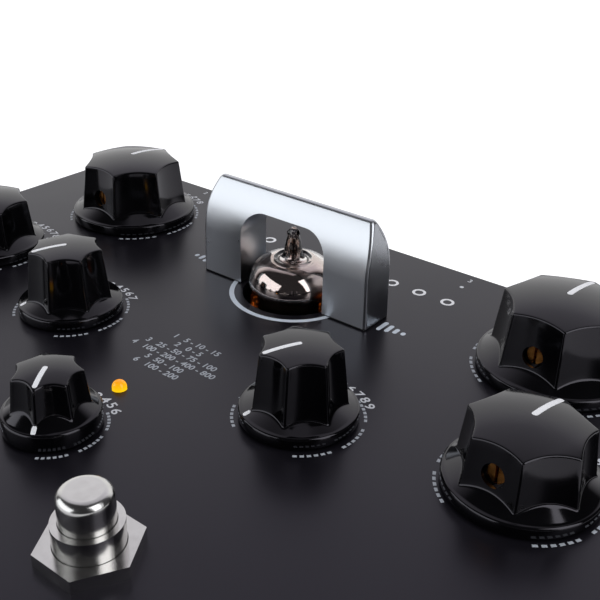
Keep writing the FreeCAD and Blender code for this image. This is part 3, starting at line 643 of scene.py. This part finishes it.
class KnobShape:
    """Surfaces of one knob in its own frame: the pointer lies along +Y and z counts from the panel."""

    def __init__(self, size, skirt):
        self.size = size
        self.skirt = skirt
        self.high = size["tip"] + size["crown"]
        self.shrink = (size["base"] - size["top"]) / (size["tip"] - size["foot"])
        self.low_line = lobe_outline(self.reach(skirt_gap))
        self.high_line = lobe_outline(self.reach(self.high))
        self.dome_radius = (size["top"] ** 2 + size["crown"] ** 2) / (2 * size["crown"])
        self.slope_start = size["base"] * inner_share
        self.slope_end = skirt - rim_radius

    def reach(self, z):
        return self.size["base"] - self.shrink * (z - self.size["foot"])

    def wall(self, i, z):
        return self.low_line[i].lerp(self.high_line[i], (z - skirt_gap) / (self.high - skirt_gap))

    def dome(self, point):
        return self.high - self.dome_radius + math.sqrt(self.dome_radius ** 2 - point.length_squared)

    def slope(self, point):
        share = (point.length - self.slope_start) / (self.slope_end - self.slope_start)
        return self.size["foot"] + (self.size["rim"] - self.size["foot"]) * share

    def settle(self, i, surface, z):
        """Height at which the fluted wall meets a surface."""
        for _ in range(settle_rounds):
            z = surface(self.wall(i, z))
        return z

    def outward(self, i):
        along = self.low_line[(i + 1) % len(self.low_line)] - self.low_line[i - 1]
        normal = Vector((-along.y, along.x)).normalized()
        return normal if normal.dot(self.low_line[i]) > 0 else -normal

    def column(self, i):
        """Points from the middle of the dome, down the wall and over the skirt, into the shaft's bore."""
        normal = self.outward(i)
        top_z = self.settle(i, self.dome, self.size["tip"])
        top = self.wall(i, top_z)
        inner = top - normal * top_edge_round
        points = []
        for share in DOME_SHARES:
            p = inner * share
            points.append((p.x, p.y, self.dome(p)))
        wall_high = top_z - top_edge_round
        foot_z = self.settle(i, self.slope, self.size["foot"])
        foot = self.wall(i, foot_z)
        wall_low = foot_z + base_fillet
        wall_points = []
        for k in range(wall_steps + 1):
            z = wall_high + (wall_low - wall_high) * k / wall_steps
            p = self.wall(i, z)
            wall_points.append((p.x, p.y, z))
        points += curve_points(points[-1], (top.x, top.y, top_z), wall_points[0], round_steps)
        points += wall_points
        spread_out = foot + normal * base_fillet
        points += curve_points(wall_points[-1], (foot.x, foot.y, foot_z),
                               (spread_out.x, spread_out.y, self.slope(spread_out)), round_steps)
        direction = spread_out.normalized()
        for share in SKIRT_SHARES:
            p = direction * (spread_out.length + (self.slope_end - spread_out.length) * share)
            points.append((p.x, p.y, self.slope(p)))
        points += [(direction.x * r, direction.y * r, z) for r, z in self.underside()]
        return points

    def underside(self):
        """From the rim round the skirt's edge, into the hollow for the nut and up the shaft's bore."""
        rim_centre = (self.slope_end, self.size["rim"] - rim_radius)
        return arc_points(rim_centre, rim_radius, rim_arc_start, 0, round_steps) + [
            (self.skirt, skirt_gap + under_round), (self.skirt - under_bend, skirt_gap + under_bend),
            (self.skirt - under_round, skirt_gap), (hub_radius, skirt_gap),
            (hub_radius, skirt_gap + hub_depth), (shaft_bore, skirt_gap + hub_depth),
            (shaft_bore, self.size["tip"] - shaft_cover)]

    def mesh(self):
        columns = [self.column(i) for i in range(len(self.low_line))]
        rings = [list(ring) for ring in zip(*columns)]
        return skin(rings, (0, 0, self.high), (0, 0, self.size["tip"] - shaft_cover))


def bore_cutter(radius, start, end, height, move):
    """A round bar along -Y at one height in the dial's frame, as a mesh to cut with."""
    work = bmesh.new()
    turn = Matrix.Translation(Vector((0, -(start + end) / 2, height))) @ Matrix.Rotation(math.pi / 2, 4, "X")
    bmesh.ops.create_cone(work, cap_ends=True, segments=bore_steps, radius1=radius, radius2=radius,
                          depth=end - start)
    bmesh.ops.transform(work, matrix=Matrix.Scale(MM, 4) @ move @ turn, verts=work.verts)
    return finished_mesh("bore", work)


def marker_bar(first, last, width, height_at):
    """A round-ended painted bar along +Y that follows a surface."""
    half = width / 2
    rows = []
    for k in range(marker_rows + 1):
        y = (first + last) / 2 - (last - first) / 2 * math.cos(math.pi * k / marker_rows)
        cap = min(y - first, last - y, half)
        reach = math.sqrt(max(half ** 2 - (half - cap) ** 2, marker_least_half ** 2))
        rows.append([((2 * j / marker_columns - 1) * reach, y) for j in range(marker_columns + 1)])
    vertices = []
    for lift in (marker_proud, -marker_depth):
        for row in rows:
            for x, y in row:
                at_edge = lift > 0 and abs(x) > half * marker_edge_share
                drop = marker_edge_drop if at_edge else 0.0
                vertices.append((x, y, height_at(Vector((x, y))) + lift - drop))
    columns = marker_columns + 1
    layer = columns * (marker_rows + 1)
    faces = []
    for k in range(marker_rows):
        for j in range(marker_columns):
            a = k * columns + j
            faces.append((a, a + 1, a + columns + 1, a + columns))
            faces.append((layer + a, layer + a + columns, layer + a + columns + 1, layer + a + 1))
    border = list(range(columns))
    border += [k * columns + marker_columns for k in range(1, marker_rows + 1)]
    border += [marker_rows * columns + j for j in range(marker_columns - 1, -1, -1)]
    border += [k * columns for k in range(marker_rows - 1, 0, -1)]
    for a, b in zip(border, border[1:] + border[:1]):
        faces.append((a, b, layer + b, layer + a))
    return vertices, faces


def dial_middle(name):
    low, high = box_mm(name + "_knob")
    return (low + high) / 2


def build_dial(name, size, angle):
    low, high = box_mm(name + "_knob")
    skirt = (high.x - low.x) / 2
    middle = dial_middle(name)
    move = (Matrix.Translation((middle.x, middle.y, panel))
            @ Matrix.Rotation(math.radians(-angle), 4, "Z"))
    shape = KnobShape(size, skirt)
    knob = add_piece(name + "_cap", *shape.mesh(), "knob_black", name + "_dial", move)
    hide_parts(name + "_knob")
    height = size["screw_height"]
    flute = shape.reach(height) * math.cos(math.pi / lobe_count) - flute_depth
    cut_away(knob, bore_cutter(size["screw"] + screw_mouth, flute - screw_seat, skirt, height, move))
    cut_away(knob, bore_cutter(size["screw"] + screw_clearance, shaft_bore / 2, flute, height, move))
    mark_sharp(knob, knob_sharp_angle)
    tick_end = skirt - tick_inset
    line = marker_bar(*size["line"], shape.dome)
    tick = marker_bar(tick_end - tick_length, tick_end, size["line"][2], shape.slope)
    pointer = add_piece(name + "_marker", *joined(line, tick), "pointer_white", name + "_dial", move)
    mark_sharp(pointer, marker_sharp_angle)
    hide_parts(name + "_pointer")


for dial, (size, angle) in DIALS.items():
    build_dial(dial, size, angle)


# Valve: glass bulb with its drawn-off pip, and the film of getter silver inside its dome


def circle_through(a, b, c):
    ax, ay = a
    bx, by = b
    cx, cy = c
    d = 2 * (ax * (by - cy) + bx * (cy - ay) + cx * (ay - by))
    a_square, b_square, c_square = ax ** 2 + ay ** 2, bx ** 2 + by ** 2, cx ** 2 + cy ** 2
    x = (a_square * (by - cy) + b_square * (cy - ay) + c_square * (ay - by)) / d
    y = (a_square * (cx - bx) + b_square * (ax - cx) + c_square * (bx - ax)) / d
    return (x, y), math.hypot(ax - x, ay - y)


def bulb_curve(shrink, steps):
    """Dome of the bulb from its straight wall up to the flat round the pip, moved inward by shrink."""
    low = (glass_radius - shrink, glass_straight)
    high = (flat_radius, shoulder - shrink)
    bulge = (high[0] + (low[0] - high[0]) * dome_fullness, low[1] + (high[1] - low[1]) * dome_fullness)
    centre, radius = circle_through(low, bulge, high)
    first = math.degrees(math.atan2(low[1] - centre[1], low[0] - centre[0]))
    last = math.degrees(math.atan2(high[1] - centre[1], high[0] - centre[0]))
    return arc_points(centre, radius, first, last, steps)


def pip_hollow(gap):
    """The hollow that the bulb's space runs up into, narrowed by a gap, and the height of its end."""
    points = [(hollow_mouth - gap, shoulder - glass_wall - gap)]
    points += [(r - gap, shoulder + rise) for r, rise in PIP_HOLLOW]
    return points, shoulder + hollow_rise - gap


TURN = [2 * math.pi * i / turn_steps for i in range(turn_steps)]


def round_valve(r, z, waver=0.0):
    """A ring of points round the valve's axis; waver makes it slightly out of round."""
    points = []
    for a in TURN:
        reach = r + waver * (math.sin(3 * a + 0.9 * z) + 0.6 * math.sin(5 * a + 2.0 * z))
        points.append((reach * math.sin(a), valve_y + reach * math.cos(a), z))
    return points


def shell_between(name, outer, outer_top, inner, inner_top, finish_name):
    """A turned shell from its outer rings, which run up to a top point, and its inner ones."""
    outside = skin(outer, None, (0, valve_y, outer_top))
    vertices, faces = joined(outside, skin(inner, None, (0, valve_y, inner_top)))
    offset = len(outside[0])
    for i in range(turn_steps):
        j = (i + 1) % turn_steps
        faces.append((i, j, offset + j, offset + i))
    return add_piece(name, vertices, faces, finish_name, "case")


def build_glass():
    low = box_mm("valve_glass")[0].z
    outer = [round_valve(r, z) for r, z in [(glass_radius, low)] + bulb_curve(0, dome_steps)]
    outer += [round_valve(r, shoulder + rise) for r, rise in PIP_NECK]
    outer += [round_valve(r, shoulder + rise, waver) for r, rise, waver in PIP_END]
    hollow, hollow_top = pip_hollow(0.0)
    inside = [(glass_radius - glass_wall, low)] + bulb_curve(glass_wall, dome_steps) + hollow
    inner = [round_valve(r, z) for r, z in inside]
    glass = shell_between("valve_envelope", outer, pip_top, inner, hollow_top, "bulb_glass")
    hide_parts("valve_glass")


def build_silver():
    sides = []
    for depth in (film_gap, film_gap + film_thickness):
        inset = glass_wall + depth
        hollow, hollow_top = pip_hollow(depth)
        curve = [(glass_radius - inset, film_foot)] + bulb_curve(inset, film_steps) + hollow
        sides += [[round_valve(r, z) for r, z in curve], hollow_top]
    silver = shell_between("valve_getter_film", *sides, "getter_silver")
    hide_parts("valve_silver")


build_glass()
build_silver()


# Guard: satin arch with a pointed cowl, curved ends and a softened opening


def guard_reach(height):
    """Half length of the guard: the ends lean a little, then curve inwards towards the top."""
    foot = (guard_high.x - guard_low.x) / 2
    lean = math.atan(guard_end_lean / guard_end_straight)
    if height <= guard_end_straight:
        return foot - height * math.tan(lean)
    centre_x = foot - guard_end_lean - guard_end_curve * math.cos(lean)
    above = height - guard_end_straight + guard_end_curve * math.sin(lean)
    return centre_x + math.sqrt(guard_end_curve ** 2 - above ** 2)


def guard_profile(inset):
    """Outline (y, height) of the cowl seen from its end, from one foot over the crest to the other."""
    half = (guard_high.y - guard_low.y) / 2
    rise = guard_ridge - guard_straight
    radius = (half * half + rise * rise) / (2 * half)
    meet = math.acos((radius - half) / (radius - guard_crest))
    crest_z = guard_straight + (radius - guard_crest) * math.sin(meet)
    straight = [(half - inset, guard_straight * k / straight_steps) for k in range(straight_steps)]
    flank = arc_points((half - radius, guard_straight), radius - inset, 0, math.degrees(meet), flank_steps)
    crest = arc_points((0, crest_z), guard_crest - inset, math.degrees(meet), 90, crest_steps)[1:]
    points = straight + flank + crest
    return points + [(-y, z) for y, z in points[-2::-1]]


def guard_body():
    stations = []
    for k in range(corner_steps + 1):
        a = math.pi / 2 * k / corner_steps
        stations.append((guard_end_radius * (1 - math.sin(a)), guard_end_radius * (1 - math.cos(a))))
    rings = []
    for side in (1, -1):
        for back, inset in stations[::-side]:
            rings.append([(side * (guard_reach(z) - back), valve_y + y, guard_low.z + z)
                          for y, z in guard_profile(inset)])
    vertices, faces = skin(rings)
    count = len(rings[0])
    last = (len(rings) - 1) * count
    faces += [tuple(range(count)), tuple(last + i for i in range(count))]
    return add_piece("valve_arch", vertices, faces, "satin_alloy", "case")


def arch_cutter():
    """The opening's outline drawn out through the guard's depth, as a mesh to cut with."""
    centre = (arch_half_width - arch_radius, guard_low.z + arch_height - arch_radius)
    corner = arc_points(centre, arch_radius, 0, 90, arch_steps)
    outline = [(arch_half_width, guard_low.z - arch_overrun)] + corner
    outline += [(-x, z) for x, z in outline[::-1]]
    reach = guard_high.y - guard_low.y
    work = bmesh.new()
    near = [work.verts.new((x * MM, (valve_y - reach) * MM, z * MM)) for x, z in outline]
    far = [work.verts.new((x * MM, (valve_y + reach) * MM, z * MM)) for x, z in outline]
    work.faces.new(near)
    work.faces.new(far[::-1])
    for i in range(len(outline)):
        j = (i + 1) % len(outline)
        work.faces.new((near[j], near[i], far[i], far[j]))
    bmesh.ops.recalc_face_normals(work, faces=work.faces)
    return finished_mesh("opening", work)


def build_guard():
    guard = guard_body()
    cut_away(guard, arch_cutter())
    guard.data.polygons.foreach_set("use_smooth", [True] * len(guard.data.polygons))
    bevel = guard.modifiers.new("soft_edges", "BEVEL")
    bevel.width = opening_soft * MM
    bevel.segments = soft_steps
    bevel.limit_method = "ANGLE"
    bevel.angle_limit = math.radians(opening_angle)
    bevel.harden_normals = True
    guard.modifiers.new("flat_faces", "WEIGHTED_NORMAL").keep_sharp = True
    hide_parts("valve_guard")


build_guard()


# Printed marks on the panel: thin raised ink


class Ink:
    """Collects flat printed shapes into one thin mesh."""

    def __init__(self, name, finish_name):
        self.name = name
        self.finish_name = finish_name
        self.work = bmesh.new()

    def shape(self, points):
        """A flat patch of ink inside a closed outline."""
        low = [self.work.verts.new((x * MM, y * MM, (panel - ink_sink) * MM)) for x, y in points]
        high = [self.work.verts.new((x * MM, y * MM, (panel + ink_thickness) * MM)) for x, y in points]
        self.work.faces.new(high)
        self.work.faces.new(low[::-1])
        for i in range(len(points)):
            j = (i + 1) % len(points)
            self.work.faces.new((low[i], low[j], high[j], high[i]))

    def ring_part(self, x, y, inner, outer, first, last, step):
        """A piece of a ring between two clock angles, counted clockwise from straight back."""
        count = max(1, math.ceil(abs(last - first) / step))
        angles = [math.radians(first + (last - first) * k / count) for k in range(count + 1)]
        points = [(x + outer * math.sin(a), y + outer * math.cos(a)) for a in angles]
        points += [(x + inner * math.sin(a), y + inner * math.cos(a)) for a in angles[::-1]]
        self.shape(points[::-1])

    def full_ring(self, x, y, inner, outer, step):
        """A closed ring in two halves that meet edge to edge."""
        for first in (0, 180):
            self.ring_part(x, y, inner, outer, first, first + 180, step)

    def bar(self, x, y, length, width, turn=0.0):
        """A straight bar with round ends."""
        low = width / 2
        reach = length / 2 - low
        corners = []
        for side in (-1, 1):
            for k in range(bar_end_steps + 1):
                a = math.pi * k / bar_end_steps
                corners.append((side * (reach + low * math.sin(a)), side * low * math.cos(a)))
        spin = Matrix.Rotation(math.radians(turn), 2)
        placed = [spin @ Vector(c) + Vector((x, y)) for c in corners]
        self.shape([(p.x, p.y) for p in placed])

    def text(self, words, x, y, height, turn=0.0, widen=1.0):
        """Plain bold numbers, centred, with capital height in millimetres."""
        curve = bpy.data.curves.new("digits", "FONT")
        curve.body = words
        curve.size = height / capital_share * MM
        curve.offset = height * stroke_gain * MM
        curve.align_x = "CENTER"
        curve.align_y = "CENTER"
        curve.extrude = (ink_thickness + ink_sink) / 2 * MM
        curve.resolution_u = letter_steps
        holder = place_object("digits", curve)
        shown = bpy.context.evaluated_depsgraph_get()
        mesh = bpy.data.meshes.new_from_object(holder.evaluated_get(shown))
        middle = panel + (ink_thickness - ink_sink) / 2
        mesh.transform(Matrix.Translation((x * MM, y * MM, middle * MM))
                       @ Matrix.Rotation(math.radians(turn), 4, "Z")
                       @ Matrix.Diagonal((widen, 1.0, 1.0, 1.0)))
        self.work.from_mesh(mesh)
        bpy.data.objects.remove(holder)
        bpy.data.curves.remove(curve)
        bpy.data.meshes.remove(mesh)

    def done(self):
        bmesh.ops.recalc_face_normals(self.work, faces=self.work.faces)
        mesh = finished_mesh(self.name, self.work)
        mesh.materials.clear()
        mesh.materials.append(FINISH[self.finish_name])
        for polygon in mesh.polygons:
            polygon.material_index = 0
            polygon.use_smooth = False
        piece = place_object(self.name, mesh)
        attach(piece, "case")


def print_dial_scales():
    """Groups of dashes round each dial; a group that the numbers would touch is left out."""
    ink = Ink("dial_scales", "print_dim")
    half = dash_pitch * dash_share / 2
    for name, (size, _) in DIALS.items():
        place = dial_middle(name)
        inner = size["ring"] - dash_width / 2
        crowded = size["label"] - size["ring"] < label_height
        for group in range(dash_groups):
            centre = (group - (dash_groups - 1) / 2) * group_pitch
            if crowded and centre == 0:
                continue
            for k in range(dashes_in_group):
                at = centre + (k - (dashes_in_group - 1) / 2) * dash_pitch
                ink.ring_part(place.x, place.y, inner, inner + dash_width, at - half, at + half, dash_step)
    ink.done()


def print_labels():
    ink = Ink("dial_labels", "print_white")
    for name, count in LABEL_NUMBERS.items():
        place = dial_middle(name)
        radius = DIALS[name][0]["label"]
        for k in range(count):
            a = (k - (count - 1) / 2) * label_pitch / radius
            ink.text(str(k + 1), place.x + radius * math.sin(a), place.y + radius * math.cos(a),
                     label_height, -math.degrees(a), label_widen)
    ink.done()


def print_list():
    ink = Ink("mode_list", "print_dim")
    for k, words in enumerate(LIST_LINES):
        y = rear - list_back - (k - (len(LIST_LINES) - 1) / 2) * list_pitch
        ink.text(words, 0, y, list_height, widen=list_widen)
    ink.done()


def print_row():
    ink = Ink("rear_row", "pointer_white")
    for k in range(row_rings):
        x = (k - (row_rings - 1) / 2) * row_pitch
        ink.full_ring(x, rear - row_back, row_ring - row_stroke, row_ring, row_step)
    ink.done()


def print_rear_marks():
    """A number and a dot for each socket in the rear wall."""
    ink = Ink("jack_marks", "print_white")
    outer = cover_high.x - outer_jack_inset
    inner = cover_high.x - inner_jack_inset
    for number, x in enumerate((-outer, -inner, control_jack_x, inner, outer), 1):
        ink.text(str(number), x, rear - jack_number_back, jack_number_height)
        ink.bar(x, rear - jack_dot_back, jack_dot, jack_dot)
    ink.done()


def print_valve_ring():
    """A broad ring round the valve, with a fan of shrinking bars at each end of the guard."""
    ink = Ink("valve_ring", "print_pale")
    ink.full_ring(0, valve_y, valve_ring_inner, valve_ring_outer, valve_ring_step)
    for side in (-1, 1):
        for k in range(fan_bars):
            ink.bar(side * (fan_start + fan_pitch * k), valve_y, fan_length - fan_shrink * k, fan_width, 90)
    ink.done()


print_dial_scales()
print_labels()
print_list()
print_row()
print_rear_marks()
print_valve_ring()


# Stage: pale floor, white surround, soft studio light


def soft_box(name, azimuth, elevation, distance, wide, high, radiance, tint):
    """A rectangular lamp that faces the object; azimuth counts from the front towards the right.

    distance is in metres; wide and high are the angles that it spans as seen from the object."""
    data = bpy.data.lights.new(name, "AREA")
    data.shape = "RECTANGLE"
    data.size = 2 * distance * math.tan(math.radians(wide / 2))
    data.size_y = 2 * distance * math.tan(math.radians(high / 2))
    data.energy = radiance * math.pi * data.size * data.size_y
    data.color = tint
    holder = place_object(name, data)
    a, e = math.radians(azimuth), math.radians(elevation)
    centre = Vector((0, valve_y * MM, panel * MM))
    direction = Vector((math.sin(a) * math.cos(e), -math.cos(a) * math.cos(e), math.sin(e)))
    holder.location = centre + direction * distance
    holder.rotation_mode = "QUATERNION"
    holder.rotation_quaternion = (centre - holder.location).to_track_quat("-Z", "Y")
    return holder


def build_lamps():
    """A lamp on each side, and one overhead that lights the object but isn't mirrored in it."""
    soft_box("left_box", azimuth=-35, elevation=20, distance=1.3, wide=68, high=38, radiance=1.6,
             tint=(0.96, 0.99, 1.03))
    soft_box("right_box", azimuth=89, elevation=34, distance=1.1, wide=30, high=56, radiance=2.2,
             tint=(0.98, 0.99, 1.03))
    overhead = soft_box("top_box", azimuth=37, elevation=80, distance=1.2, wide=70, high=30,
                        radiance=1.35, tint=(0.99, 0.99, 1.02))
    overhead.visible_glossy = False
    overhead.visible_transmission = False


def shade(radiance):
    return tuple(radiance * part for part in backdrop_tint)


def build_world():
    """White surround that lights the object from behind, dark in front where the lamps stand."""
    world = bpy.data.worlds.new("studio")
    scene.world = world
    world.use_nodes = True
    made = Shading(world.node_tree)
    view = made.coordinates("Generated")
    level = made.vector_maths("NORMALIZE", made.vector_maths("MULTIPLY", view, (1.0, 1.0, 0.0)))
    back = math.radians(backdrop_azimuth)
    toward = made.vector_maths("DOT_PRODUCT", level, (math.sin(back), -math.cos(back), 0.0))
    beside = made.spread(toward, 0.0, 1.0, math.cos(math.radians(backdrop_fade)),
                         math.cos(math.radians(backdrop_half)))
    heights = made.spread(made.maths("ARCSINE", made.upward(view)), 0.0, 1.0, 0.0, math.pi / 2)
    behind = made.ramp(heights, [(height / 90, shade(radiance)) for height, radiance in BACKDROP])
    around = made.mixed(beside, shade(front_radiance), behind)
    straight, bent = made.sight()
    low = made.spread(heights, 1.0, 0.0, white_full / 90, white_gone / 90)
    bent_back = made.maths("MULTIPLY", bent, made.maths("MULTIPLY", beside, low))
    white = made.maths("MAXIMUM", straight, bent_back)
    made.fill(made.nodes["Background"], Color=made.mixed(white, around, (1.0, 1.0, 1.0)))


def build_camera():
    data = bpy.data.cameras.new("camera")
    data.lens = camera_lens
    data.sensor_width = camera_sensor
    data.clip_start = camera_near * MM
    data.clip_end = camera_far * MM
    holder = place_object("camera", data)
    a, e, roll = (math.radians(v) for v in (camera_azimuth, camera_elevation, camera_roll))
    right = Vector((math.cos(a), math.sin(a), 0))
    forward = Vector((-math.sin(a) * math.cos(e), math.cos(a) * math.cos(e), -math.sin(e)))
    up = right.cross(forward)
    tilted_right = right * math.cos(roll) + up * math.sin(roll)
    tilted_up = up * math.cos(roll) - right * math.sin(roll)
    turn = Matrix((tilted_right, tilted_up, -forward)).transposed().to_4x4()
    holder.matrix_world = Matrix.Translation(Vector(camera_place) * MM) @ turn
    scene.camera = holder


def build_floor():
    """Pale floor that the camera sees as white, with the object's shadow on it."""
    made = Finish("floor")
    straight, bent = made.sight()
    glow = made.maths("MAXIMUM", straight, made.maths("MULTIPLY", bent, floor_in_mirrors))
    pale = made.ramp(made.noise(3.0), [(0.3, (0.66, 0.66, 0.67)), (0.7, (0.70, 0.70, 0.71))])
    made.look(Base_Color=pale, Roughness=0.9, Emission_Strength=glow, Emission_Color=(0.74, 0.74, 0.74))
    bpy.ops.mesh.primitive_plane_add(size=floor_width, location=(0, 0, 0))
    floor = bpy.context.object
    floor.name = "floor"
    floor.data.materials.append(made.material)


build_lamps()
build_camera()
build_world()
build_floor()
scene.view_settings.view_transform = "Standard"
